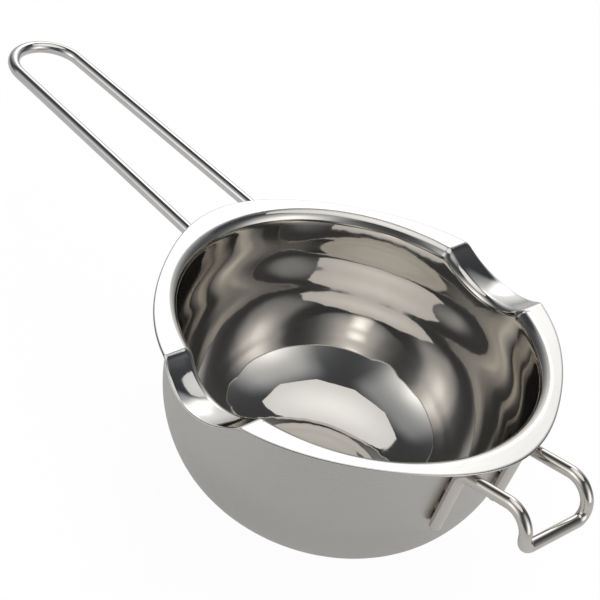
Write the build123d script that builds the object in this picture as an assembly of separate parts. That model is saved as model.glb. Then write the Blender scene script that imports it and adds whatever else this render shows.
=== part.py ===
from build123d import *
import os
from math import sin, cos, tan, atan2, asin, sqrt, radians

# Double boiler insert: one drawn bowl, a hairpin handle and a hook, welded on.
# The base stands on z = 0, the long handle points to -X, the hook to +X, the spouts to +Y and -Y.

# Sheet of the bowl
height = 71.6
sheet = 0.8
wall_radius_at_rim = 65.8
wall_taper = 6.25
belly_radius = 52.0
belly_end_angle = 31.6
heel_radius = 37.0

# Rim band, the short flared strip between wall and flange
band_height = 4.6
band_flare = 0.5
rim_bend = 1.0

# Flange outline, four lobes, as widths outside the wall
flange_width_at_handle = 8.5
flange_width_at_waist = 5.2
flange_width_at_spout = 10.7
waist_angle = 37.0
blank_margin = 4.0
outline_points_per_quarter = 9

# Pouring spouts pressed into the flange
spout_half_width = 18.5
spout_depth = 7.0
spout_fall = 5.0
spout_edge_round = 0.6

# Wire of both handles
wire_diameter = 4.5
wire_end_round = 0.9
leg_bend = 5.0
weld_gap = 0.2
flange_gap = 0.2
leg_length = 32.0

# Long handle
handle_half_spacing = 16.1
handle_loop_radius = 13.8
handle_reach = 193.2
handle_drop = 5.4

# Hook
hook_half_spacing = 15.2
hook_rise = 13.0
hook_top_reach = 94.5
hook_reach = 98.8
hook_bar_drop = 12.2
hook_top_bend = 8.5
hook_bar_bend = 4.0

# Spot welds
weld_length = 5.0
weld_width = 3.0
weld_upper_drop = 14.0
weld_lower_drop = 23.5

taper = radians(wall_taper)
belly_end = radians(belly_end_angle)
wire_radius = wire_diameter / 2
waist = radians(waist_angle)
flange_radius_at_handle = wall_radius_at_rim + flange_width_at_handle
flange_radius_at_waist = wall_radius_at_rim + flange_width_at_waist
flange_radius_at_spout = wall_radius_at_rim + flange_width_at_spout


def wall_at(drop):
    """Outer radius of the straight part of the wall, a drop below the flange top."""
    return wall_radius_at_rim - drop * tan(taper)


# Bowl profile: straight wall, belly arc, heel arc, flat base
belly_fall = belly_radius * (sin(belly_end) - sin(taper))
heel_fall = heel_radius * (1 - sin(belly_end))
straight_fall = height - belly_fall - heel_fall
belly_top = (wall_at(straight_fall), height - straight_fall)
belly_centre = (belly_top[0] - belly_radius * cos(taper), belly_top[1] + belly_radius * sin(taper))
heel_centre = (
    belly_centre[0] + (belly_radius - heel_radius) * cos(belly_end),
    heel_radius,
)
base_radius = heel_centre[0]


def arc_point(centre, radius, angle):
    return (centre[0] + radius * cos(angle), centre[1] - radius * sin(angle))


def arc_between(centre, radius, start, end):
    return ThreePointArc(
        arc_point(centre, radius, start),
        arc_point(centre, radius, (start + end) / 2),
        arc_point(centre, radius, end),
    )


def side_arcs(offset):
    """Belly and heel arcs of the outer face, or of the inner face one sheet inside it."""
    belly = arc_between(belly_centre, belly_radius - offset, taper, belly_end)
    heel = arc_between(heel_centre, heel_radius - offset, belly_end, radians(90))
    return belly, heel


slant_sheet = sheet / cos(taper)
kink_z = height - band_height
kink_outer = (wall_at(band_height), kink_z)
kink_inner = (kink_outer[0] - slant_sheet, kink_z)
band_slope = (band_flare + band_height * tan(taper)) / band_height
corner_under = (kink_outer[0] + (band_height - sheet) * band_slope, height - sheet)
corner_top = (kink_inner[0] + band_height * band_slope, height)

blank_radius = max(flange_radius_at_handle, flange_radius_at_waist, flange_radius_at_spout) + blank_margin

belly_outer, heel_outer = side_arcs(0)
belly_inner, heel_inner = side_arcs(sheet)


def round_corner(sketch, corner, radius):
    """Round the corner of a profile that lies nearest to a point."""
    nearest = sketch.vertices().sort_by_distance((corner[0], corner[1], 0))[0]
    return fillet(nearest, radius)


# The outside as one full body, a little above the flange
with BuildSketch(Plane.XZ) as outer_profile:
    with BuildLine():
        add(belly_outer)
        add(heel_outer)
        Polyline(
            (base_radius, 0),
            (0, 0),
            (0, height + sheet),
            (blank_radius, height + sheet),
            (blank_radius, height - sheet),
            corner_under,
            kink_outer,
            belly_top,
        )
    make_face()
    round_corner(outer_profile, corner_under, rim_bend)
outer_body = revolve(outer_profile.sketch, axis=Axis.Z)

# The space over the sheet: inside of the bowl and all above the flange
with BuildSketch(Plane.XZ) as space_profile:
    with BuildLine():
        add(belly_inner)
        add(heel_inner)
        Polyline(
            (base_radius, sheet),
            (0, sheet),
            (0, height + 3 * sheet),
            (blank_radius + blank_margin, height + 3 * sheet),
            (blank_radius + blank_margin, height),
            corner_top,
            kink_inner,
            arc_point(belly_centre, belly_radius - sheet, taper),
        )
    make_face()
    round_corner(space_profile, corner_top, rim_bend + sheet)
space = revolve(space_profile.sketch, axis=Axis.Z)


# Flange outline with its four lobes
def flange_radius(angle):
    """Radius of the outline at an angle from the handle line, within one quarter."""
    if angle < waist:
        swell = cos(radians(90) * angle / waist) ** 2
        return flange_radius_at_waist + (flange_radius_at_handle - flange_radius_at_waist) * swell
    swell = sin(radians(90) * (angle - waist) / (radians(90) - waist)) ** 2
    return flange_radius_at_waist + (flange_radius_at_spout - flange_radius_at_waist) * swell


def outline_point(index):
    turn = index * radians(90) / outline_points_per_quarter
    quarter = atan2(abs(sin(turn)), abs(cos(turn)))
    radius = flange_radius(quarter)
    return (radius * cos(turn), radius * sin(turn))


outline = Spline(*[outline_point(i) for i in range(4 * outline_points_per_quarter)], periodic=True)
trimmed = Pos(0, 0, -height) * extrude(make_face(outline), 3 * height)

# Spouts: a shallow trough, falling outwards, with the sheet wrapped round it
spout_radius = (spout_half_width**2 + spout_depth**2) / (2 * spout_depth)
spout_inner_y = wall_radius_at_rim / 2
spout_outer_y = blank_radius + blank_margin
spout_lip_z = height - spout_depth


def trough(radius, top, side):
    """Cylinder along Y through the lip of one spout, from inside the wall to past the flange, cut at a top."""
    reach = 2 * (spout_outer_y - spout_inner_y)
    rod = Rot(90, 0, 0) * Cylinder(radius, 3 * reach)
    rod = Pos(0, side * flange_radius_at_spout, spout_lip_z + spout_radius) * Rot(-side * spout_fall, 0, 0) * rod
    middle = side * (spout_inner_y + spout_outer_y) / 2
    deep = 4 * spout_depth
    window = Pos(0, middle, top - deep / 2) * Box(3 * spout_half_width, reach / 2, deep)
    return rod & window


# Flange and spouts pressed from one blank, then trimmed to the outline
lips = [trough(spout_radius + sheet, height, side) for side in (-1, 1)]
dips = [trough(spout_radius, height + 2 * sheet, side) for side in (-1, 1)]
pressed = (outer_body + lips) - ([space] + dips)
bowl = (pressed & trimmed).solid()

# Round the edge where each trough turns down into the bowl, and its two creases on the flange
trough_edges = []
for face in bowl.faces().filter_by(GeomType.CYLINDER):
    if abs(face.radius - spout_radius) < sheet / 4:
        for edge in face.edges():
            middle = edge @ 0.5
            if sqrt(middle.X**2 + middle.Y**2) < flange_radius_at_spout - sheet:
                trough_edges.append(edge)
bowl = fillet(trough_edges, min(spout_edge_round, 0.75 * sheet)).solid()


# Wires
def corner_arc(before, corner, after, radius):
    """Start, middle and end of the round between two straight runs of wire."""
    back = (before - corner).normalized()
    ahead = (after - corner).normalized()
    half_angle = radians(back.get_angle(ahead)) / 2
    reach = radius / tan(half_angle)
    bisector = (back + ahead).normalized()
    centre = corner + bisector * (radius / sin(half_angle))
    return corner + back * reach, centre - bisector * radius, corner + ahead * reach


def bent_run(points, bends):
    """Straight runs through the points, with a round at each inner point."""
    edges = []
    here = points[0]
    for i, radius in enumerate(bends):
        start, middle, end = corner_arc(points[i], points[i + 1], points[i + 2], radius)
        edges.append(Line(here, start))
        edges.append(ThreePointArc(start, middle, end))
        here = end
    edges.append(Line(here, points[-1]))
    return edges


def round_wire(edges):
    """Wire of the handles along a path, with its two cut ends rounded."""
    path = Wire(edges)
    section = Plane(origin=path @ 0, z_dir=path % 0) * Circle(wire_radius)
    rod = sweep(section, path=path)
    ends = rod.edges().filter_by(GeomType.CIRCLE).sort_by(Axis.Z)[0:2]
    return fillet(ends, wire_end_round).solid()


def mirrored(points):
    return [Vector(p.X, -p.Y, p.Z) for p in reversed(points)]


def leg_point(drop, angle):
    """Centre of a leg lying along the wall at an angle round the bowl."""
    radius = wall_at(drop) + (wire_radius + weld_gap) / cos(taper)
    return Vector(radius * cos(angle), radius * sin(angle), height - drop)


def leg_angle(half_spacing, drop):
    radius = wall_at(drop) + (wire_radius + weld_gap) / cos(taper)
    return asin(half_spacing / radius)


# Long handle: leg, run, loop, run, leg
handle_angle = leg_angle(handle_half_spacing, handle_drop)
loop_x = -(handle_reach - wire_radius - handle_loop_radius)
handle_z = height - handle_drop
handle_top = leg_point(handle_drop, radians(180) - handle_angle)
to_loop = Vector(loop_x - handle_top.X, -handle_top.Y, 0)
gap_angle = asin(handle_loop_radius / to_loop.length)
run_angle = atan2(-to_loop.Y, -to_loop.X) - gap_angle
loop_end = Vector(
    loop_x - handle_loop_radius * sin(run_angle),
    handle_loop_radius * cos(run_angle),
    handle_z,
)
loop_crown = Vector(loop_x - handle_loop_radius, 0, handle_z)
handle_side = [leg_point(leg_length, radians(180) - handle_angle), handle_top, loop_end]
handle_loop = ThreePointArc(loop_end, loop_crown, Vector(loop_end.X, -loop_end.Y, handle_z))
handle_edges = bent_run(handle_side, [leg_bend])
handle_edges.append(handle_loop)
handle_edges += bent_run(mirrored(handle_side), [leg_bend])
long_handle = round_wire(handle_edges)

# Hook: leg, rising run, drop, bar, drop, run, leg
rise = radians(hook_rise)
flange_under = sheet + flange_gap + wire_radius / cos(rise)
hook_start_drop = flange_under + (flange_radius_at_handle - wall_radius_at_rim) * tan(rise)
hook_angle = leg_angle(hook_half_spacing, hook_start_drop)
hook_leg_top = leg_point(hook_start_drop, hook_angle)
hook_top_z = hook_leg_top.Z + (hook_top_reach - hook_leg_top.X) * tan(rise)
hook_side = [
    leg_point(leg_length, hook_angle),
    hook_leg_top,
    Vector(hook_top_reach, hook_half_spacing, hook_top_z),
    Vector(hook_reach - wire_radius, hook_half_spacing, height - hook_bar_drop),
]
hook_points = hook_side + mirrored(hook_side)
hook_bends = [leg_bend, hook_top_bend, hook_bar_bend, hook_bar_bend, hook_top_bend, leg_bend]
hook_handle = round_wire(bent_run(hook_points, hook_bends))


# Spot welds between each leg and the wall
def weld(drop, angle, wire):
    outward = Vector(cos(taper) * cos(angle), cos(taper) * sin(angle), -sin(taper))
    along = Vector(sin(taper) * cos(angle), sin(taper) * sin(angle), cos(taper))
    radius = wall_at(drop)
    foot = Vector(radius * cos(angle), radius * sin(angle), height - drop)
    face = Plane(origin=foot - outward * sheet / 2, x_dir=along, z_dir=outward)
    nugget = extrude(face * Ellipse(weld_length / 2, weld_width / 2), sheet / 2 + weld_gap + wire_radius / 2)
    return (nugget - bowl - wire).solids().sort_by(SortBy.VOLUME)[-1]


def welds(angles, wire):
    return Compound([weld(d, a, wire) for a in angles for d in (weld_upper_drop, weld_lower_drop)])


handle_angles = (radians(180) - handle_angle, radians(180) + handle_angle)
long_handle_welds = welds(handle_angles, long_handle)
hook_handle_welds = welds((hook_angle, -hook_angle), hook_handle)

os.makedirs("parts", exist_ok=True)
export_step(bowl, "parts/bowl.step")
export_step(long_handle, "parts/long_handle.step")
export_step(hook_handle, "parts/hook_handle.step")
export_step(long_handle_welds, "parts/long_handle_welds.step")
export_step(hook_handle_welds, "parts/hook_handle_welds.step")
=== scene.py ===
from math import acos, asin, atan2, cos, pi, radians, sin, sqrt, tan

import bmesh
import bpy
from bpy.props import FloatProperty, FloatVectorProperty, IntProperty, PointerProperty
from bpy.types import Operator, Panel, PropertyGroup
from mathutils import Matrix, Vector


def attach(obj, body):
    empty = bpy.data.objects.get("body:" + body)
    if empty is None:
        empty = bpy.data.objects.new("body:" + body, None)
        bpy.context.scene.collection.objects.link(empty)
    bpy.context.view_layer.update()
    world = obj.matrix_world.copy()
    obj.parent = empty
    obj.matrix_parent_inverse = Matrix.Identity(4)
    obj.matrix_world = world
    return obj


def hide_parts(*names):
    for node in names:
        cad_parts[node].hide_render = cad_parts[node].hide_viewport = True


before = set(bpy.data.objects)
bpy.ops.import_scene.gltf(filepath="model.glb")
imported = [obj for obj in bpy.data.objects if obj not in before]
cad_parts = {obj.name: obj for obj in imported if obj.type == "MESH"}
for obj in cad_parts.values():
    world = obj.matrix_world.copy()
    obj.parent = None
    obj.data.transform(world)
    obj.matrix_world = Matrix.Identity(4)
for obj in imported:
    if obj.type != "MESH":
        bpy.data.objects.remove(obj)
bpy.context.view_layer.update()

bl_info = {
    "name": "Double Boiler Insert",
    "version": (1, 0, 0),
    "blender": (4, 5, 0),
    "location": "3D View > Sidebar > Melting Bowl",
    "description": "Drawn steel melting bowl with pressed spouts, a hairpin handle and a wire hook",
    "category": "Object",
}

MM = 0.001


# Sizes and colours that a user would change
def length(name, description, value):
    """A length in millimetres as a metre property."""
    return FloatProperty(name=name, description=description, default=value * MM, unit="LENGTH", precision=5)


def angle(name, description, value):
    return FloatProperty(name=name, description=description, default=radians(value), subtype="ANGLE")


def colour(name, description, value):
    return FloatVectorProperty(
        name=name, description=description, default=value, subtype="COLOR", size=3, min=0.0, max=1.0
    )


class BowlSizes(PropertyGroup):
    """Sizes of the drawn bowl."""

    height: length("Height", "Base to flange top", 71.6)
    sheet: length("Sheet", "Thickness of the steel", 0.8)
    wall: length("Wall radius", "Outer wall carried up to the flange top", 65.8)
    taper: angle("Wall taper", "Lean of the wall", 6.25)
    belly: length("Belly radius", "Large arc under the wall", 52.0)
    belly_end: angle("Belly end", "Slope where the belly meets the heel", 31.6)
    heel: length("Heel radius", "Arc between belly and base", 37.0)
    band: length("Band height", "Flared strip under the flange", 4.6)
    mouth_round: length("Mouth round", "Inner round between wall and flange", 4.0)
    flare: length("Band flare", "How far the strip leans out", 0.5)
    bend: length("Rim bend", "Radius of the bend under the flange", 1.0)
    width_handle: length("Flange at handle", "Flange width on the handle line", 8.5)
    width_waist: length("Flange at waist", "Flange width between the lobes", 5.2)
    width_spout: length("Flange at spout", "Flange width at the spouts", 10.695)
    waist: angle("Waist angle", "Where the flange is narrowest, from the handle line", 37.0)
    spout_half: length("Spout half width", "Half the opening at the lip", 18.5)
    spout_depth: length("Spout depth", "Drop of the lip below the flange", 7.0)
    spout_fall: angle("Spout fall", "Outward slope of the trough at its inner edge", 6.5)
    spout_curl: angle("Spout curl", "Outward slope of the trough at the lip", -6.5)
    crease: length("Crease round", "Softness of the crease beside a spout", 1.1)
    spout_round: length("Spout edge round", "Round where a spout turns down into the bowl", 2.8)


class WireSizes(PropertyGroup):
    """Sizes of the two bent wires."""

    wire: length("Wire", "Diameter of both wires", 4.5)
    end_round: length("End round", "Round on the cut ends", 0.9)
    sides: IntProperty(name="Sides", description="Faces round a wire", default=36, min=8, max=96)
    gap: length("Weld gap", "Space between a leg and the wall", 0.2)
    leg: length("Leg length", "Drop of the leg ends below the flange top", 32.0)
    leg_bend: length("Leg bend", "Bend under the flange", 5.0)
    handle_half: length("Handle half spacing", "Half the spacing at the bowl", 16.1)
    loop: length("Loop radius", "Radius at the far end of the handle", 13.8)
    reach: length("Handle reach", "Far end of the handle from the middle", 193.16)
    drop: length("Handle drop", "Wire centre below the flange top", 5.4)
    hook_half: length("Hook half spacing", "Half the spacing of the hook", 15.2)
    hook_rise: angle("Hook rise", "Slope of the hook's run", 13.0)
    hook_top: length("Hook top", "Where the hook turns down", 94.4)
    hook_reach: length("Hook reach", "Outer side of the hook bar", 98.78)
    hook_bar: length("Hook bar drop", "Bar centre below the flange top", 12.2)
    hook_top_bend: length("Hook top bend", "Bend where the hook turns down", 8.5)
    hook_bar_bend: length("Hook bar bend", "Bend at the ends of the bar", 4.0)
    flange_gap: length("Flange gap", "Space between hook and flange", 0.2)


class SteelColours(PropertyGroup):
    """Colours of the steel finishes."""

    inside: colour("Inside", "Mirror polish inside", (0.66, 0.637, 0.602))
    spout: colour("Spout", "Polished troughs of the spouts", (0.60, 0.59, 0.575))
    flange: colour("Flange", "Bright polished flange", (0.615, 0.605, 0.592))
    outside: colour("Outside", "Satin outside", (0.60, 0.583, 0.558))
    wire: colour("Handle wire", "Polished wire of the long handle", (0.70, 0.688, 0.672))
    hook: colour("Hook wire", "Polished wire of the hook", (0.69, 0.657, 0.61))
    weld: colour("Weld", "Browned weld metal", (0.36, 0.30, 0.24))


# Profile of the bowl, in metres, as radius and height
def mix(a, b, share):
    return a + (b - a) * share


def soft_low(a, b, round_by):
    """The lower of two heights, with a round between them."""
    share = min(1.0, max(0.0, 0.5 + 0.5 * (b - a) / round_by))
    return mix(b, a, share) - round_by * share * (1.0 - share)


def arc(centre, radius, start, end, steps):
    """Points of a profile arc, with angles measured down from level."""
    points = []
    for i in range(steps + 1):
        turn = mix(start, end, i / steps)
        points.append((centre[0] + radius * cos(turn), centre[1] - radius * sin(turn)))
    return points


def straight(start, end, steps):
    return [(mix(start[0], end[0], i / steps), mix(start[1], end[1], i / steps)) for i in range(steps + 1)]


def unit(dx, dz):
    size = sqrt(dx * dx + dz * dz)
    return dx / size, dz / size


def round_corner(corner, back, ahead, radius, steps):
    """Points of a round at a corner between two directions."""
    half = acos(max(-1.0, min(1.0, back[0] * ahead[0] + back[1] * ahead[1]))) / 2
    reach = radius / tan(half)
    middle = unit(back[0] + ahead[0], back[1] + ahead[1])
    centre = (corner[0] + middle[0] * radius / sin(half), corner[1] + middle[1] * radius / sin(half))
    start = atan2(corner[1] + back[1] * reach - centre[1], corner[0] + back[0] * reach - centre[0])
    end = atan2(corner[1] + ahead[1] * reach - centre[1], corner[0] + ahead[0] * reach - centre[0])
    if end - start > pi:
        end -= 2 * pi
    if start - end > pi:
        end += 2 * pi
    points = []
    for i in range(steps + 1):
        turn = mix(start, end, i / steps)
        points.append((centre[0] + radius * cos(turn), centre[1] + radius * sin(turn)))
    return points


# Finishes of the bowl, in the order of its materials
MIRROR, BRIGHT, SATIN, SPOUT = range(4)

# Sections in a quarter of the bowl: first and last angle in degrees, and how many
SECTIONS = ((0, 70, 88), (70, 80, 44), (80, 90, 16))

# Rows that each stretch of a section is cut into
FLOOR_ROWS = 5
HEEL_ROWS = 24
BELLY_ROWS = 12
WALL_ROWS = 24
MOUTH_ROWS = 16
MOUTH_MIRROR_ROWS = 13
FLANGE_ROWS = 10
LIP_ROWS = 6
UNDER_ROWS = 8
UNDER_BEND_ROWS = 5
OUTER_WALL_ROWS = 9
OUTER_HEEL_ROWS = 14

# Innermost ring of floor and base, as a share of the base radius
POLE_SHARE = 0.12

# How far from a corner its directions are taken: down the inner wall, over the flange, and outside
WALL_STEP = 1.5 * MM
FLANGE_STEP = 1.6 * MM
OUTER_STEP = 2 * MM

# The row at the kink lies at least this far under the bend, and the next row this far under it
KINK_CLEAR = 0.8 * MM
KINK_STEP = 0.5 * MM

# Rounds in which the edge between wall and flange is found
EDGE_ROUNDS = 12

# The trough's arc is followed out to this share of its radius
TROUGH_SPAN = 0.98

# The trough's slope is steepest in its middle and eases off towards its flanks
SLOPE_MIDDLE = 1.4
SLOPE_EASE = 1.6
SLOPE_LEAST = 0.2

# A section is part of a spout once its edge has dropped by this share of the spout's depth
SPOUT_DIP = 0.04

# A flange that has dropped less than this is plain, and this is the cosine of the steepest flank
PLAIN_DROP = 0.02 * MM
STEEPEST = 0.75

# How far the drawn inner face stands off the plain cone and arcs: depth below the flange and
# distance, in millimetres
INNER_SWELL = (
    (0.0, -1.38),
    (4.0, -0.98),
    (7.5, -0.63),
    (11.0, -0.28),
    (19.0, 0.43),
    (27.0, 0.21),
    (36.0, -0.07),
    (46.0, -0.18),
    (58.0, -0.19),
    (70.8, 0.0),
)


def smooth_curve(knots):
    """A smooth curve through knots, with no bend at its two ends."""
    at = [k[0] for k in knots]
    value = [k[1] for k in knots]
    last = len(knots) - 1
    bend = [0.0] * (last + 1)
    rest = [0.0] * (last + 1)
    for i in range(1, last):
        share = (at[i] - at[i - 1]) / (at[i + 1] - at[i - 1])
        scale = share * bend[i - 1] + 2.0
        bend[i] = (share - 1.0) / scale
        before = (value[i] - value[i - 1]) / (at[i] - at[i - 1])
        after = (value[i + 1] - value[i]) / (at[i + 1] - at[i])
        turn = after - before
        rest[i] = (6.0 * turn / (at[i + 1] - at[i - 1]) - share * rest[i - 1]) / scale
    for i in range(last - 1, -1, -1):
        bend[i] = bend[i] * bend[i + 1] + rest[i]

    def curve(x):
        i = 0
        while i < last - 1 and x > at[i + 1]:
            i += 1
        step = at[i + 1] - at[i]
        a = (at[i + 1] - x) / step
        b = 1.0 - a
        bowed = (a**3 - a) * bend[i] + (b**3 - b) * bend[i + 1]
        return a * value[i] + b * value[i + 1] + bowed * step**2 / 6.0

    return curve


class BowlForm:
    """The bowl's shape worked out from its sizes."""

    def __init__(self, sizes):
        self.s = sizes
        s = sizes
        self.slope = tan(s.taper)
        belly_fall = s.belly * (sin(s.belly_end) - sin(s.taper))
        heel_fall = s.heel * (1 - sin(s.belly_end))
        straight_fall = s.height - belly_fall - heel_fall
        self.belly_top = s.height - straight_fall
        top_radius = s.wall - straight_fall * self.slope
        self.belly_centre = (top_radius - s.belly * cos(s.taper), self.belly_top + s.belly * sin(s.taper))
        self.heel_centre = (self.belly_centre[0] + (s.belly - s.heel) * cos(s.belly_end), s.heel)
        self.base = self.heel_centre[0]
        self.slant = s.sheet / cos(s.taper)
        self.kink = s.height - s.band
        self.kink_radius = s.wall - s.band * self.slope
        self.band_slope = (s.flare + s.band * self.slope) / s.band
        self.spout_radius = (s.spout_half**2 + s.spout_depth**2) / (2 * s.spout_depth)
        self.lip = s.wall + s.width_spout
        self.curve = smooth_curve(INNER_SWELL)

    def swell(self, depth):
        """Distance of the inner face off the plain cone and arcs."""
        deepest = INNER_SWELL[-1][0]
        return self.curve(min(deepest, depth / MM)) * MM

    def outer(self, z):
        """Outer radius of wall and band at a height."""
        if z > self.kink:
            return self.kink_radius + (z - self.kink) * self.band_slope
        return self.s.wall - (self.s.height - z) * self.slope

    def inner(self, z):
        """Inner radius of the wall at a height."""
        depth = self.s.height - z
        return self.s.wall - self.slant - depth * self.slope + self.swell(depth)

    def outline(self, turn):
        """Outer radius of the flange at an angle round the bowl."""
        s = self.s
        quarter = atan2(abs(sin(turn)), abs(cos(turn)))
        low = s.wall + s.width_waist
        if quarter < s.waist:
            return low + (s.width_handle - s.width_waist) * cos(pi / 2 * quarter / s.waist) ** 2
        share = (quarter - s.waist) / (pi / 2 - s.waist)
        return low + (s.width_spout - s.width_waist) * sin(pi / 2 * share) ** 2

    def top(self, radius, turn):
        """Height of the upper face of the flange or of a spout."""
        s = self.s
        x = radius * cos(turn)
        y = abs(radius * sin(turn))
        rho = self.spout_radius
        if abs(x) >= rho * TROUGH_SPAN:
            return s.height
        sag = rho * sqrt(1 - (x / rho) ** 2)
        inward = self.lip - y
        climb = tan(s.spout_curl) * inward
        climb += (tan(s.spout_fall) - tan(s.spout_curl)) * inward**2 / (2 * (s.width_spout + s.sheet))
        climb *= max(SLOPE_LEAST, SLOPE_MIDDLE - SLOPE_EASE * (x / s.spout_half) ** 2)
        trough = s.height - s.spout_depth + rho + climb - sag
        return soft_low(s.height, trough, s.crease)

    def thickness(self, radius, turn):
        """Sheet measured straight down, thicker on the flanks of a spout."""
        x = radius * cos(turn)
        if self.top(radius, turn) > self.s.height - PLAIN_DROP:
            return self.s.sheet
        return self.s.sheet / max(STEEPEST, sqrt(max(0.0, 1 - (x / self.spout_radius) ** 2)))

    def column(self, turn):
        """Rows of one section of the bowl, from inner floor to outer base, with the finish of each row."""
        s = self.s
        edge = s.height
        for _ in range(EDGE_ROUNDS):
            edge = self.top(self.inner(edge), turn)
        dip = min(1.0, (s.height - edge) / s.spout_depth)
        rows = []

        def put(points, finish):
            for point in points:
                rows.append((point[0], point[1], finish))

        # Inner floor, heel and belly
        pole = self.base * POLE_SHARE
        put(straight((pole, s.sheet), (self.base, s.sheet), FLOOR_ROWS)[:-1], MIRROR)
        heel = arc(self.heel_centre, s.heel - s.sheet, pi / 2, s.belly_end, HEEL_ROWS)
        belly = arc(self.belly_centre, s.belly - s.sheet, s.belly_end, s.taper, BELLY_ROWS)
        put([(x + self.swell(s.height - z), z) for x, z in heel[:-1] + belly[:-1]], MIRROR)

        # Inner wall, then the round of the mouth
        corner = (self.inner(edge), edge)
        below = (self.inner(edge - WALL_STEP), edge - WALL_STEP)
        back = unit(below[0] - corner[0], below[1] - corner[1])
        step = mix(FLANGE_STEP, s.spout_round, dip)
        ahead = unit(step, self.top(corner[0] + step, turn) - edge)
        bend = round_corner(corner, back, ahead, mix(s.mouth_round, s.spout_round, dip), MOUTH_ROWS)
        start = belly[-1][1]
        heights = [mix(start, bend[0][1], i / WALL_ROWS) for i in range(WALL_ROWS)]
        put([(self.inner(z), z) for z in heights], MIRROR)
        put(bend[:MOUTH_MIRROR_ROWS], MIRROR)
        rim = SPOUT if dip > SPOUT_DIP else BRIGHT
        put(bend[MOUTH_MIRROR_ROWS:], rim)

        # Flange or spout, out to the lip and round its edge
        lip = self.outline(turn)
        half = s.sheet / 2
        for i in range(1, FLANGE_ROWS + 1):
            radius = mix(bend[-1][0], lip - half, i / FLANGE_ROWS)
            put([(radius, self.top(radius, turn))], rim)
        lip_z = self.top(lip - half, turn) - half
        for i in range(1, LIP_ROWS):
            tilt = pi / 2 - pi * i / LIP_ROWS
            put([(lip - half + half * cos(tilt), lip_z + half * sin(tilt))], rim)

        # Underside, back to the wall
        def under(radius):
            return self.top(radius, turn) - self.thickness(radius, turn)

        foot_z = edge - self.thickness(corner[0], turn)
        foot = (self.outer(foot_z), foot_z)
        out = unit(OUTER_STEP, under(foot[0] + OUTER_STEP) - foot_z)
        lower = (self.outer(foot_z - OUTER_STEP), foot_z - OUTER_STEP)
        down = unit(lower[0] - foot[0], lower[1] - foot[1])
        under_round = mix(s.bend, s.spout_round - s.sheet, dip)
        under_bend = round_corner(foot, out, down, under_round, UNDER_BEND_ROWS)
        for i in range(UNDER_ROWS):
            radius = mix(lip - half, under_bend[0][0], i / UNDER_ROWS)
            put([(radius, under(radius))], SATIN)
        put(under_bend, SATIN)

        # Outer wall, belly, heel and base
        low_z = min(self.kink, under_bend[-1][1] - KINK_CLEAR)
        wall_top = low_z - KINK_STEP
        heights = [mix(wall_top, self.belly_top, i / OUTER_WALL_ROWS) for i in range(OUTER_WALL_ROWS)]
        put([(self.outer(z), z) for z in [low_z] + heights], SATIN)
        put(arc(self.belly_centre, s.belly, s.taper, s.belly_end, OUTER_WALL_ROWS)[:-1], SATIN)
        put(arc(self.heel_centre, s.heel, s.belly_end, pi / 2, OUTER_HEEL_ROWS)[:-1], SATIN)
        put(straight((self.base, 0.0), (pole, 0.0), FLOOR_ROWS), SATIN)
        return rows

    def turns(self):
        """Angles of the sections, closer together at the creases of the spouts."""
        quarter = []
        for first, last, count in SECTIONS:
            quarter += [first + i * (last - first) / count for i in range(count)]
        whole = []
        for part in range(4):
            side = quarter if part % 2 == 0 else [90 - q for q in reversed(quarter + [90.0])][:-1]
            whole += [radians(part * 90 + q) for q in side]
        return whole


# Materials
WHITE = (1, 1, 1, 1)

# Darkest and lightest tone of the steel, as shares of its colour
BOWL_TONES = (0.95, 1.04)
WIRE_TONES = (0.9, 1.08)

# Middle part of a noise, which is stretched to a full range
NOISE_RANGE = (0.25, 0.75)

# Swing of the roughness in the clouds of polish
CLOUD_SWING = (0.85, 1.15)

# Square of a small radius, in square metres, that keeps the marks calm in the middle of floor and base
POLE_SOFTNESS = 2.5e-5

# Wires and welds: roughness, scale of the clouds and of the grain, and the grain's strength and height
WIRE_ROUGH = (0.05, 0.09)
WELD_ROUGH = (0.35, 0.6)
WIRE_CLOUDS = 130.0
WIRE_GRAIN = 1500.0
GRAIN_STRENGTH = 0.25
GRAIN_HEIGHT = 0.00002


def bare_material(name):
    """A material with nothing but its output."""
    material = bpy.data.materials.new(name)
    material.use_nodes = True
    material.node_tree.nodes.clear()
    output = material.node_tree.nodes.new("ShaderNodeOutputMaterial")
    return material, output.inputs["Surface"]


def new_material(name):
    """A material with one Principled shader."""
    material, surface = bare_material(name)
    shader = material.node_tree.nodes.new("ShaderNodeBsdfPrincipled")
    material.node_tree.links.new(shader.outputs["BSDF"], surface)
    return material, shader


def group_socket(tree, name, kind, way, default=None):
    socket = tree.interface.new_socket(name=name, in_out=way, socket_type=kind)
    if default is not None:
        socket.default_value = default


def feed(links, value, socket):
    """Set a socket to a number or link it to another socket."""
    if isinstance(value, (int, float)):
        socket.default_value = value
    else:
        links.new(value, socket)


def calculator(nodes, links):
    """A function that adds a math node to a tree and gives its result."""

    def calc(operation, first, second=None):
        node = nodes.new("ShaderNodeMath")
        node.operation = operation
        feed(links, first, node.inputs[0])
        if second is not None:
            feed(links, second, node.inputs[1])
        return node.outputs[0]

    return calc


def map_range(nodes, links, value, before, after, smooth=False):
    """A value carried from one range to another and held at its ends."""
    node = nodes.new("ShaderNodeMapRange")
    if smooth:
        node.interpolation_type = "SMOOTHSTEP"
    for name, limit in zip(("From Min", "From Max", "To Min", "To Max"), (*before, *after)):
        node.inputs[name].default_value = limit
    links.new(value, node.inputs["Value"])
    return node.outputs["Result"]


def noise_mask(nodes, links, place, scale, detail):
    node = nodes.new("ShaderNodeTexNoise")
    node.inputs["Detail"].default_value = detail
    feed(links, scale, node.inputs["Scale"])
    links.new(place, node.inputs["Vector"])
    return node.outputs["Fac"]


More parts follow.
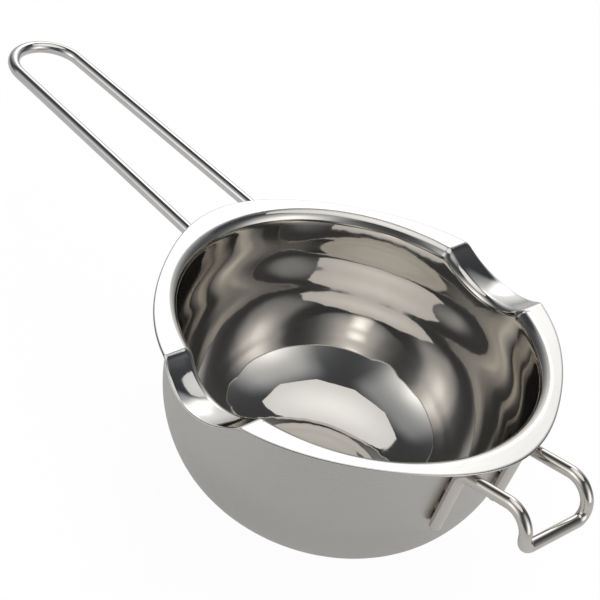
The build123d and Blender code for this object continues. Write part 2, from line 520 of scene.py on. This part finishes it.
def mix_colours(nodes, links, share, first, second):
    node = nodes.new("ShaderNodeMix")
    node.data_type = "RGBA"
    node.inputs["A"].default_value = first
    node.inputs["B"].default_value = second
    links.new(share, node.inputs["Factor"])
    return node.outputs["Result"]


def mix_shaders(nodes, links, share, first, second):
    node = nodes.new("ShaderNodeMixShader")
    links.new(share, node.inputs["Fac"])
    links.new(first.outputs[0], node.inputs[1])
    links.new(second.outputs[0], node.inputs[2])
    return node.outputs[0]


def two_tones(nodes, links, share, base, tones):
    """A colour between a darker and a lighter tone of a base colour."""
    dark, light = [(*[min(1.0, part * tone) for part in base], 1.0) for tone in tones]
    return mix_colours(nodes, links, share, dark, light)


def bump(nodes, links, mask, height, strength=1.0, under=None):
    """The normal of a bump, laid over another bump if one is given."""
    node = nodes.new("ShaderNodeBump")
    node.inputs["Strength"].default_value = strength
    node.inputs["Distance"].default_value = height
    links.new(mask, node.inputs["Height"])
    if under is not None:
        links.new(under, node.inputs["Normal"])
    return node.outputs["Normal"]


def polish_group():
    """Marks of polishing that run round an upright axis: fine lines, soft clouds and slow waves."""
    name = "Polish round the bowl"
    if name in bpy.data.node_groups:
        return bpy.data.node_groups[name]
    tree = bpy.data.node_groups.new(name, "ShaderNodeTree")
    group_socket(tree, "Lines per metre", "NodeSocketFloat", "INPUT", 2600.0)
    group_socket(tree, "Cloud scale", "NodeSocketFloat", "INPUT", 28.0)
    group_socket(tree, "Wave scale", "NodeSocketFloat", "INPUT", 60.0)
    group_socket(tree, "Lines", "NodeSocketFloat", "OUTPUT")
    group_socket(tree, "Clouds", "NodeSocketFloat", "OUTPUT")
    group_socket(tree, "Waves", "NodeSocketFloat", "OUTPUT")
    nodes, links = tree.nodes, tree.links
    calc = calculator(nodes, links)
    entry = nodes.new("NodeGroupInput")
    leave = nodes.new("NodeGroupOutput")
    place = nodes.new("ShaderNodeTexCoord").outputs["Object"]
    split = nodes.new("ShaderNodeSeparateXYZ")
    links.new(place, split.inputs[0])
    x, y, z = split.outputs
    square = calc("ADD", calc("MULTIPLY", x, x), calc("MULTIPLY", y, y))
    radius = calc("SQRT", calc("ADD", square, POLE_SOFTNESS))
    around_x = calc("DIVIDE", x, radius)
    around_y = calc("DIVIDE", y, radius)
    along = calc("ADD", z, radius)

    def ring_noise(stretch, scale, detail):
        vector = nodes.new("ShaderNodeCombineXYZ")
        links.new(calc("MULTIPLY", around_x, stretch), vector.inputs[0])
        links.new(calc("MULTIPLY", around_y, stretch), vector.inputs[1])
        links.new(calc("MULTIPLY", along, scale), vector.inputs[2])
        return noise_mask(nodes, links, vector.outputs[0], 1.0, detail)

    lines = ring_noise(stretch=7.0, scale=entry.outputs["Lines per metre"], detail=3.0)
    waves = ring_noise(stretch=5.0, scale=entry.outputs["Wave scale"], detail=1.0)
    clouds = noise_mask(nodes, links, place, scale=entry.outputs["Cloud scale"], detail=4.0)
    links.new(lines, leave.inputs["Lines"])
    links.new(waves, leave.inputs["Waves"])
    links.new(clouds, leave.inputs["Clouds"])
    return tree


def bowl_steel(name, base, rough, line_bump, wave_bump, lines, metal):
    """Stainless sheet with polishing marks round the bowl.

    The bumps are heights in metres, lines is the number of marks to a metre, and a metal share below 1
    leaves a faint haze.
    """
    material, shader = new_material(name)
    nodes, links = material.node_tree.nodes, material.node_tree.links
    calc = calculator(nodes, links)
    shader.inputs["Metallic"].default_value = metal
    marks = nodes.new("ShaderNodeGroup")
    marks.node_tree = polish_group()
    marks.inputs["Lines per metre"].default_value = lines
    tone = two_tones(nodes, links, marks.outputs["Clouds"], base, BOWL_TONES)
    links.new(tone, shader.inputs["Base Color"])
    fine = map_range(nodes, links, marks.outputs["Lines"], NOISE_RANGE, rough)
    broad = map_range(nodes, links, marks.outputs["Clouds"], NOISE_RANGE, CLOUD_SWING)
    links.new(calc("MULTIPLY", fine, broad), shader.inputs["Roughness"])
    waves = bump(nodes, links, marks.outputs["Waves"], wave_bump)
    scratches = bump(nodes, links, marks.outputs["Lines"], line_bump, under=waves)
    links.new(scratches, shader.inputs["Normal"])
    return material


def wire_steel(name, base, rough):
    """Drawn and tumbled wire: a faint grain and small clouds of wear."""
    material, shader = new_material(name)
    nodes, links = material.node_tree.nodes, material.node_tree.links
    shader.inputs["Metallic"].default_value = 1.0
    place = nodes.new("ShaderNodeTexCoord").outputs["Object"]
    clouds = noise_mask(nodes, links, place, WIRE_CLOUDS, detail=4.0)
    grain = noise_mask(nodes, links, place, WIRE_GRAIN, detail=3.0)
    links.new(two_tones(nodes, links, clouds, base, WIRE_TONES), shader.inputs["Base Color"])
    links.new(map_range(nodes, links, clouds, NOISE_RANGE, rough), shader.inputs["Roughness"])
    links.new(bump(nodes, links, grain, GRAIN_HEIGHT, GRAIN_STRENGTH), shader.inputs["Normal"])
    return material


# Wires
def bent_points(points, bends, fine=4.0):
    """Points along straight runs with a round at each inner corner."""
    made = [points[0]]
    for i, radius in enumerate(bends):
        corner = points[i + 1]
        back = (points[i] - corner).normalized()
        ahead = (points[i + 2] - corner).normalized()
        half = back.angle(ahead) / 2
        reach = radius / tan(half)
        middle = (back + ahead).normalized()
        centre = corner + middle * (radius / sin(half))
        start = corner + back * reach - centre
        end = corner + ahead * reach - centre
        sweep = start.angle(end)
        steps = max(4, int(sweep / radians(fine)))
        for k in range(steps + 1):
            share = sweep * k / steps
            spoke = start * sin(sweep - share) + end * sin(share)
            made.append(centre + spoke / sin(sweep))
    made.append(points[-1])
    return made


def leg_radius(bowl, wires, drop):
    """Distance of a leg's centre from the axis, a drop below the flange top."""
    return bowl.wall - drop * tan(bowl.taper) + (wires.wire / 2 + wires.gap) / cos(bowl.taper)


def leg_point(bowl, wires, drop, turn):
    radius = leg_radius(bowl, wires, drop)
    return Vector((radius * cos(turn), radius * sin(turn), bowl.height - drop))


def leg_turn(bowl, wires, half, drop):
    return asin(half / leg_radius(bowl, wires, drop))


def mirrored(points):
    return [Vector((p.x, -p.y, p.z)) for p in reversed(points)]


def handle_path(bowl, wires):
    """Centre line of the long handle: leg, run, loop, run, leg."""
    turn = pi - leg_turn(bowl, wires, wires.handle_half, wires.drop)
    top = leg_point(bowl, wires, wires.drop, turn)
    loop_x = -(wires.reach - wires.wire / 2 - wires.loop)
    to_loop = Vector((loop_x - top.x, -top.y))
    lean = atan2(-to_loop.y, -to_loop.x) - asin(wires.loop / to_loop.length)
    lean = atan2(sin(lean), cos(lean))
    z = bowl.height - wires.drop
    loop = []
    steps = 60
    for i in range(steps + 1):
        swing = mix(pi / 2 + lean, 3 * pi / 2 - lean, i / steps)
        loop.append(Vector((loop_x + wires.loop * cos(swing), wires.loop * sin(swing), z)))
    side = [leg_point(bowl, wires, wires.leg, turn), top, loop[0]]
    run = bent_points(side, [wires.leg_bend])
    return run[:-1] + loop + mirrored(run)[1:]


def hook_path(bowl, wires):
    """Centre line of the hook: leg, rising run, drop, bar, drop, run, leg."""
    under = bowl.sheet + wires.flange_gap + wires.wire / 2 / cos(wires.hook_rise)
    start = under + bowl.width_handle * tan(wires.hook_rise)
    turn = leg_turn(bowl, wires, wires.hook_half, start)
    top = leg_point(bowl, wires, start, turn)
    top_z = top.z + (wires.hook_top - top.x) * tan(wires.hook_rise)
    side = [
        leg_point(bowl, wires, wires.leg, turn),
        top,
        Vector((wires.hook_top, wires.hook_half, top_z)),
        Vector((wires.hook_reach - wires.wire / 2, wires.hook_half, bowl.height - wires.hook_bar)),
    ]
    bends = [wires.leg_bend, wires.hook_top_bend, wires.hook_bar_bend]
    return bent_points(side + mirrored(side), bends + bends[::-1])


def rounded_ends(points, end_round, steps=6):
    """The path with extra points at both ends, where the wire is rounded off."""
    made = list(points)
    for _ in range(2):
        tip, inner = made[0], made[1]
        ahead = (inner - tip).normalized()
        extra = [tip + ahead * end_round * (1 - cos(pi / 2 * k / steps)) for k in range(1, steps + 1)]
        made = [tip] + extra + made[1:]
        made.reverse()
    return made


def wire_tree():
    """Geometry nodes: a round wire along a line of edges, with rounded ends."""
    name = "Round wire along a path"
    if name in bpy.data.node_groups:
        return bpy.data.node_groups[name]
    tree = bpy.data.node_groups.new(name, "GeometryNodeTree")
    group_socket(tree, "Geometry", "NodeSocketGeometry", "INPUT")
    group_socket(tree, "Wire radius", "NodeSocketFloat", "INPUT", 0.00225)
    group_socket(tree, "End round", "NodeSocketFloat", "INPUT", 0.0009)
    group_socket(tree, "Sides", "NodeSocketInt", "INPUT", 36)
    group_socket(tree, "Finish", "NodeSocketMaterial", "INPUT")
    group_socket(tree, "Geometry", "NodeSocketGeometry", "OUTPUT")
    nodes, links = tree.nodes, tree.links
    entry = nodes.new("NodeGroupInput")
    leave = nodes.new("NodeGroupOutput")
    to_curve = nodes.new("GeometryNodeMeshToCurve")
    links.new(entry.outputs["Geometry"], to_curve.inputs["Mesh"])
    parameter = nodes.new("GeometryNodeSplineParameter")
    whole = nodes.new("GeometryNodeSplineLength")
    calc = calculator(nodes, links)
    rest = calc("SUBTRACT", whole.outputs["Length"], parameter.outputs["Length"])
    nearest = calc("MINIMUM", parameter.outputs["Length"], rest)
    share = calc("MINIMUM", calc("DIVIDE", nearest, entry.outputs["End round"]), 1.0)
    inward = calc("SUBTRACT", 1.0, share)
    swell = calc("SQRT", calc("SUBTRACT", 1.0, calc("MULTIPLY", inward, inward)))
    cut = calc("DIVIDE", entry.outputs["End round"], entry.outputs["Wire radius"])
    lost = calc("MULTIPLY", calc("SUBTRACT", 1.0, swell), cut)
    size = calc("SUBTRACT", 1.0, lost)
    sweep = nodes.new("GeometryNodeCurveToMesh")
    ring = nodes.new("GeometryNodeCurvePrimitiveCircle")
    links.new(entry.outputs["Sides"], ring.inputs["Resolution"])
    links.new(entry.outputs["Wire radius"], ring.inputs["Radius"])
    links.new(to_curve.outputs["Curve"], sweep.inputs["Curve"])
    links.new(size, sweep.inputs["Scale"])
    links.new(ring.outputs["Curve"], sweep.inputs["Profile Curve"])
    sweep.inputs["Fill Caps"].default_value = True
    smooth = nodes.new("GeometryNodeSetShadeSmooth")
    links.new(sweep.outputs["Mesh"], smooth.inputs["Geometry"])
    real = nodes.new("GeometryNodeRealizeInstances")
    links.new(smooth.outputs["Geometry"], real.inputs["Geometry"])
    finish = nodes.new("GeometryNodeSetMaterial")
    links.new(real.outputs["Geometry"], finish.inputs["Geometry"])
    links.new(entry.outputs["Finish"], finish.inputs["Material"])
    links.new(finish.outputs["Geometry"], leave.inputs["Geometry"])
    return tree


def make_wire(name, points, wires, material):
    """A plain mesh wire along a path, made by the node tree."""
    path = bpy.data.meshes.new(name + "_path")
    path.from_pydata([tuple(p) for p in points], [(i, i + 1) for i in range(len(points) - 1)], [])
    carrier = bpy.data.objects.new(name + "_path", path)
    bpy.context.scene.collection.objects.link(carrier)
    modifier = carrier.modifiers.new("Wire", "NODES")
    tree = wire_tree()
    modifier.node_group = tree
    values = {
        "Wire radius": wires.wire / 2,
        "End round": wires.end_round,
        "Sides": wires.sides,
        "Finish": material,
    }
    for item in tree.interface.items_tree:
        if item.item_type == "SOCKET" and item.in_out == "INPUT" and item.name in values:
            modifier[item.identifier] = values[item.name]
    bpy.context.view_layer.update()
    shown = carrier.evaluated_get(bpy.context.evaluated_depsgraph_get())
    mesh = bpy.data.meshes.new_from_object(shown)
    carrier.modifiers.clear()
    bpy.data.objects.remove(carrier)
    mesh.name = name
    if not mesh.polygons:
        raise RuntimeError("the wire tree made no faces for " + name)
    whole = bmesh.new()
    whole.from_mesh(mesh)
    bmesh.ops.remove_doubles(whole, verts=whole.verts, dist=1e-7)
    bmesh.ops.recalc_face_normals(whole, faces=whole.faces)
    whole.to_mesh(mesh)
    whole.free()
    piece = bpy.data.objects.new(name, mesh)
    bpy.context.scene.collection.objects.link(piece)
    return piece


class BOILER_OT_bowl(Operator):
    """Make the drawn bowl with its lobed flange and two pressed spouts"""

    bl_idname = "boiler.bowl"
    bl_label = "Drawn bowl"

    def execute(self, context):
        scene = context.scene
        form = BowlForm(scene.bowl_sizes)
        colours = scene.steel_colours
        columns = [(turn, form.column(turn)) for turn in form.turns()]
        count = len(columns[0][1])
        vertices = []
        for turn, rows in columns:
            for radius, z, _ in rows:
                vertices.append((radius * cos(turn), radius * sin(turn), z))
        floor = len(vertices)
        vertices.append((0.0, 0.0, scene.bowl_sizes.sheet))
        vertices.append((0.0, 0.0, 0.0))
        faces = []
        finish = []
        total = len(columns)
        for i in range(total):
            here = i * count
            there = (i + 1) % total * count
            for k in range(count - 1):
                faces.append((here + k, there + k, there + k + 1, here + k + 1))
                finish.append(columns[i][1][k + 1][2])
            faces.append((floor, there, here))
            finish.append(MIRROR)
            faces.append((floor + 1, here + count - 1, there + count - 1))
            finish.append(SATIN)
        mesh = bpy.data.meshes.new("bowl_drawn")
        mesh.from_pydata(vertices, [], faces)
        mesh.polygons.foreach_set("use_smooth", [True] * len(faces))
        mesh.polygons.foreach_set("material_index", finish)
        # Name, colour, roughness, bumps of lines and waves, lines to a metre, share of metal
        finishes = (
            ("Mirror polished inside", colours.inside, (0.02, 0.05), 0.0000004, 0.00006, 2600.0, 0.985),
            ("Bright flange", colours.flange, (0.15, 0.24), 0.000002, 0.00003, 2600.0, 1.0),
            ("Satin outside", colours.outside, (0.26, 0.36), 0.000004, 0.00003, 3400.0, 1.0),
            ("Polished spout", colours.spout, (0.04, 0.08), 0.000002, 0.00003, 2600.0, 1.0),
        )
        for values in finishes:
            mesh.materials.append(bowl_steel(*values))
        whole = bmesh.new()
        whole.from_mesh(mesh)
        bmesh.ops.recalc_face_normals(whole, faces=whole.faces)
        if whole.calc_volume(signed=True) < 0:
            bmesh.ops.reverse_faces(whole, faces=whole.faces)
        whole.to_mesh(mesh)
        whole.free()
        piece = bpy.data.objects.new("bowl_drawn", mesh)
        scene.collection.objects.link(piece)
        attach(piece, "root")
        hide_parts("bowl")
        return {"FINISHED"}


class BOILER_OT_long_handle(Operator):
    """Make the long hairpin handle"""

    bl_idname = "boiler.long_handle"
    bl_label = "Long handle"

    def execute(self, context):
        scene = context.scene
        material = wire_steel("Polished handle wire", scene.steel_colours.wire, WIRE_ROUGH)
        path = rounded_ends(handle_path(scene.bowl_sizes, scene.wire_sizes), scene.wire_sizes.end_round)
        piece = make_wire("long_handle_wire", path, scene.wire_sizes, material)
        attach(piece, "root")
        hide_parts("long_handle")
        return {"FINISHED"}


class BOILER_OT_hook(Operator):
    """Make the wire hook that rests on the pot below"""

    bl_idname = "boiler.hook"
    bl_label = "Hook"

    def execute(self, context):
        scene = context.scene
        material = wire_steel("Polished hook wire", scene.steel_colours.hook, WIRE_ROUGH)
        path = rounded_ends(hook_path(scene.bowl_sizes, scene.wire_sizes), scene.wire_sizes.end_round)
        piece = make_wire("hook_wire", path, scene.wire_sizes, material)
        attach(piece, "root")
        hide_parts("hook_handle")
        return {"FINISHED"}


class BOILER_OT_welds(Operator):
    """Finish the spot welds of both wires"""

    bl_idname = "boiler.welds"
    bl_label = "Spot welds"

    def execute(self, context):
        base = context.scene.steel_colours.weld
        material = wire_steel("Browned spot weld", base, WELD_ROUGH)
        for name in ("long_handle_welds", "hook_handle_welds"):
            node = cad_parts[name]
            node.data.materials.clear()
            node.data.materials.append(material)
        return {"FINISHED"}


class StageSettings(PropertyGroup):
    """Camera and light."""

    azimuth: angle("Azimuth", "Turn of the camera round the bowl", 37.36)
    elevation: angle("Elevation", "Height of the camera above the horizon", 36.27)
    roll: angle("Roll", "Turn of the picture", 17.33)
    distance: length("Distance", "Camera to the point it looks at", 723.6)
    aim: FloatVectorProperty(
        name="Aim",
        description="Point the camera looks at",
        default=(-0.02115, -0.01035, 0.0716),
        subtype="XYZ",
        size=3,
    )
    room: FloatProperty(name="Room", description="Light of the walls between the softboxes", default=0.06)
    hang: length("Softbox height", "Height of the overhead softbox over the bowl's floor", 700.0)
    lens: FloatProperty(name="Lens", description="Focal length", default=127.26, unit="CAMERA")


# Floor of the stage: half its side and its depth under the base in metres, its colour and glow, and how
# much of the glow is seen straight on and in the steel
FLOOR_REACH = 3.0
FLOOR_DROP = 0.0003
FLOOR_COLOUR = (0.8, 0.8, 0.8, 1)
FLOOR_GLOW = 1.06
FLOOR_SEEN = 0.9
FLOOR_MIRRORED = 0.3

# Overhead softbox: how far behind the bowl's middle the point under it lies, in metres, its turn and height
# from there in degrees, half its width as a share of its height, and its light in the middle and at the edge
OVERHEAD_SHIFT = 0.038
OVERHEAD_TURN = 140
OVERHEAD_HEIGHT = 88.5
OVERHEAD_HALF = 0.5
OVERHEAD_LIGHT = (1.27, 0.97)

# Tint of the studio light where it is dim and where it is bright, and the two levels of light
DIM_TINT = (0.94, 0.985, 1.05, 1)
BRIGHT_TINT = (0.995, 0.995, 0.99, 1)
TINT_RANGE = (0.15, 0.8)

# Least cosine off its middle at which a softbox still gives light
GRAZING = 0.05

# Softboxes round the bowl: name, turn from the camera towards its right, height, half width and half height
# as tangents, edge, level, glow in the middle and tightness of the glow
SOFTBOXES = (
    ("Right strip", 63.0, 28.0, 0.45, 0.62, 0.25, 0.42, 0.0, 1.0),
    ("Right glow", 62.0, 6.0, 9.0, 9.0, 1.0, 0.0, 1.05, 7.8),
    ("Right core", 62.0, 26.0, 9.0, 9.0, 1.0, 0.0, 0.45, 60.0),
    ("Left strip", 302.0, 30.0, 0.50, 0.65, 0.20, 0.27, 0.0, 1.0),
    ("Left glow", 304.0, 14.0, 9.0, 9.0, 1.0, 0.0, 1.15, 12.5),
    ("Left core", 301.0, 26.0, 9.0, 9.0, 1.0, 0.0, 0.40, 60.0),
    ("Back panel", 181.0, 38.7, 0.13, 0.24, 0.125, 1.4, 0.0, 1.0),
    ("Back glow", 184.0, 24.0, 9.0, 0.53, 0.08, 0.0, 1.2, 8.5),
)


def camera_direction(azimuth, turn, height):
    """A world direction from a turn to the right of the camera and a height over the horizon."""
    right = Vector((cos(azimuth), sin(azimuth), 0))
    toward = Vector((sin(azimuth), -cos(azimuth), 0))
    flat = right * sin(radians(turn)) + toward * cos(radians(turn))
    return flat * cos(radians(height)) + Vector((0, 0, sin(radians(height))))


def softbox_light(nodes, links, look, azimuth, box):
    """Brightness of one softbox seen along a direction."""
    turn, height, half_width, half_height, edge, level, glow, tight = box[1:]
    centre = camera_direction(azimuth, turn, height)
    across = camera_direction(azimuth, turn + 90, 0)
    up = centre.cross(across)

    def along(axis):
        node = nodes.new("ShaderNodeVectorMath")
        node.operation = "DOT_PRODUCT"
        node.inputs[1].default_value = axis
        links.new(look, node.inputs[0])
        return node.outputs["Value"]

    def inside(value, half):
        return map_range(nodes, links, value, (half - edge, half + edge), (1.0, 0.0), smooth=True)

    calc = calculator(nodes, links)
    ahead = along(centre)
    depth = calc("MAXIMUM", ahead, GRAZING)
    side = calc("ABSOLUTE", calc("DIVIDE", along(across), depth))
    rise = calc("ABSOLUTE", calc("DIVIDE", along(up), depth))
    mask = calc("MULTIPLY", inside(side, half_width), inside(rise, half_height))
    mask = calc("MULTIPLY", mask, calc("GREATER_THAN", ahead, GRAZING))
    spread_out = calc("EXPONENT", calc("MULTIPLY", calc("SUBTRACT", ahead, 1.0), tight))
    return calc("MULTIPLY", mask, calc("ADD", calc("MULTIPLY", spread_out, glow), level))


class BOILER_OT_stage(Operator):
    """Set the floor, the light and the camera"""

    bl_idname = "boiler.stage"
    bl_label = "Stage"

    def execute(self, context):
        scene = context.scene
        stage = scene.stage_settings
        self.floor(scene)
        self.overhead(scene, stage)
        self.world(scene, stage)
        self.camera(scene, stage)
        scene.view_settings.view_transform = "Standard"
        return {"FINISHED"}

    def floor(self, scene):
        mesh = bpy.data.meshes.new("floor")
        sides = ((-1, -1), (1, -1), (1, 1), (-1, 1))
        corners = [(x * FLOOR_REACH, y * FLOOR_REACH, -FLOOR_DROP) for x, y in sides]
        mesh.from_pydata(corners, [], [(0, 1, 2, 3)])
        floor = bpy.data.objects.new("floor", mesh)
        scene.collection.objects.link(floor)
        material, surface = bare_material("Pale floor")
        nodes, links = material.node_tree.nodes, material.node_tree.links
        calc = calculator(nodes, links)
        matt = nodes.new("ShaderNodeBsdfDiffuse")
        matt.inputs["Color"].default_value = FLOOR_COLOUR
        white = nodes.new("ShaderNodeEmission")
        white.inputs["Color"].default_value = WHITE
        white.inputs["Strength"].default_value = FLOOR_GLOW
        rays = nodes.new("ShaderNodeLightPath")
        seen = calc("MULTIPLY", rays.outputs["Is Camera Ray"], FLOOR_SEEN)
        in_steel = calc("MULTIPLY", rays.outputs["Is Glossy Ray"], FLOOR_MIRRORED)
        links.new(mix_shaders(nodes, links, calc("ADD", seen, in_steel), matt, white), surface)
        mesh.materials.append(material)

    def overhead(self, scene, stage):
        """An eight-sided softbox over the bowl, brighter in the middle, that the camera never sees."""
        below = camera_direction(stage.azimuth, 180, 0) * OVERHEAD_SHIFT
        above = camera_direction(stage.azimuth, OVERHEAD_TURN, OVERHEAD_HEIGHT)
        middle = below + above * stage.hang
        across = camera_direction(stage.azimuth, OVERHEAD_TURN + 90, 0)
        along = Vector((0, 0, 1)).cross(across)
        reach = OVERHEAD_HALF * stage.hang / cos(pi / 8)
        corners = []
        for k in range(8):
            turn = pi / 8 + k * pi / 4
            corners.append(middle + across * (reach * cos(turn)) + along * (reach * sin(turn)))
        mesh = bpy.data.meshes.new("overhead softbox")
        mesh.from_pydata(corners, [], [tuple(reversed(range(8)))])
        panel = bpy.data.objects.new("overhead softbox", mesh)
        scene.collection.objects.link(panel)
        panel.visible_camera = False
        material, surface = bare_material("Softbox cloth")
        nodes, links = material.node_tree.nodes, material.node_tree.links
        cloth = nodes.new("ShaderNodeEmission")
        cloth.inputs["Color"].default_value = BRIGHT_TINT
        place = nodes.new("ShaderNodeTexCoord")
        off = nodes.new("ShaderNodeVectorMath")
        off.operation = "DISTANCE"
        off.inputs[1].default_value = middle
        links.new(place.outputs["Object"], off.inputs[0])
        fade = map_range(nodes, links, off.outputs["Value"], (0.0, reach), OVERHEAD_LIGHT, smooth=True)
        links.new(fade, cloth.inputs["Strength"])
        links.new(cloth.outputs[0], surface)
        mesh.materials.append(material)

    def world(self, scene, stage):
        world = bpy.data.worlds.new("Studio")
        scene.world = world
        world.use_nodes = True
        nodes, links = world.node_tree.nodes, world.node_tree.links
        nodes.clear()
        calc = calculator(nodes, links)
        output = nodes.new("ShaderNodeOutputWorld")
        rays = nodes.new("ShaderNodeLightPath")
        look = nodes.new("ShaderNodeTexCoord").outputs["Generated"]
        light = stage.room
        for box in SOFTBOXES:
            light = calc("ADD", light, softbox_light(nodes, links, look, stage.azimuth, box))
        room = nodes.new("ShaderNodeBackground")
        warmth = map_range(nodes, links, light, TINT_RANGE, (0.0, 1.0))
        links.new(mix_colours(nodes, links, warmth, DIM_TINT, BRIGHT_TINT), room.inputs["Color"])
        links.new(light, room.inputs["Strength"])
        white = nodes.new("ShaderNodeBackground")
        white.inputs["Color"].default_value = WHITE
        blend = mix_shaders(nodes, links, rays.outputs["Is Camera Ray"], room, white)
        links.new(blend, output.inputs["Surface"])

    def camera(self, scene, stage):
        toward = Vector((sin(stage.azimuth), -cos(stage.azimuth), 0))
        back = toward * cos(stage.elevation) + Vector((0, 0, sin(stage.elevation)))
        right = Vector((cos(stage.azimuth), sin(stage.azimuth), 0))
        up = back.cross(right)
        side = right * cos(stage.roll) + up * sin(stage.roll)
        top = up * cos(stage.roll) - right * sin(stage.roll)
        place = Vector(stage.aim) + back * stage.distance
        data = bpy.data.cameras.new("Camera")
        data.lens = stage.lens
        data.sensor_width = 36.0
        data.clip_start = 0.01
        camera = bpy.data.objects.new("Camera", data)
        turn = Matrix((side, top, back)).transposed().to_4x4()
        camera.matrix_world = Matrix.Translation(place) @ turn
        scene.collection.objects.link(camera)
        scene.camera = camera


class BOILER_PT_panel(Panel):
    """Pieces of the melting bowl"""

    bl_idname = "BOILER_PT_panel"
    bl_label = "Melting Bowl"
    bl_space_type = "VIEW_3D"
    bl_region_type = "UI"
    bl_category = "Melting Bowl"

    def draw(self, context):
        for operator in OPERATORS:
            self.layout.operator(operator.bl_idname)


OPERATORS = (BOILER_OT_bowl, BOILER_OT_long_handle, BOILER_OT_hook, BOILER_OT_welds, BOILER_OT_stage)
CLASSES = (BowlSizes, WireSizes, SteelColours, StageSettings, *OPERATORS, BOILER_PT_panel)


def register():
    for item in CLASSES:
        bpy.utils.register_class(item)
    bpy.types.Scene.bowl_sizes = PointerProperty(type=BowlSizes)
    bpy.types.Scene.wire_sizes = PointerProperty(type=WireSizes)
    bpy.types.Scene.steel_colours = PointerProperty(type=SteelColours)
    bpy.types.Scene.stage_settings = PointerProperty(type=StageSettings)


def unregister():
    for name in ("bowl_sizes", "wire_sizes", "steel_colours", "stage_settings"):
        delattr(bpy.types.Scene, name)
    for item in reversed(CLASSES):
        bpy.utils.unregister_class(item)


def main():
    register()
    bpy.ops.boiler.bowl()
    bpy.ops.boiler.long_handle()
    bpy.ops.boiler.hook()
    bpy.ops.boiler.welds()
    bpy.ops.boiler.stage()
    bpy.context.view_layer.update()


if __name__ == "__main__":
    main()
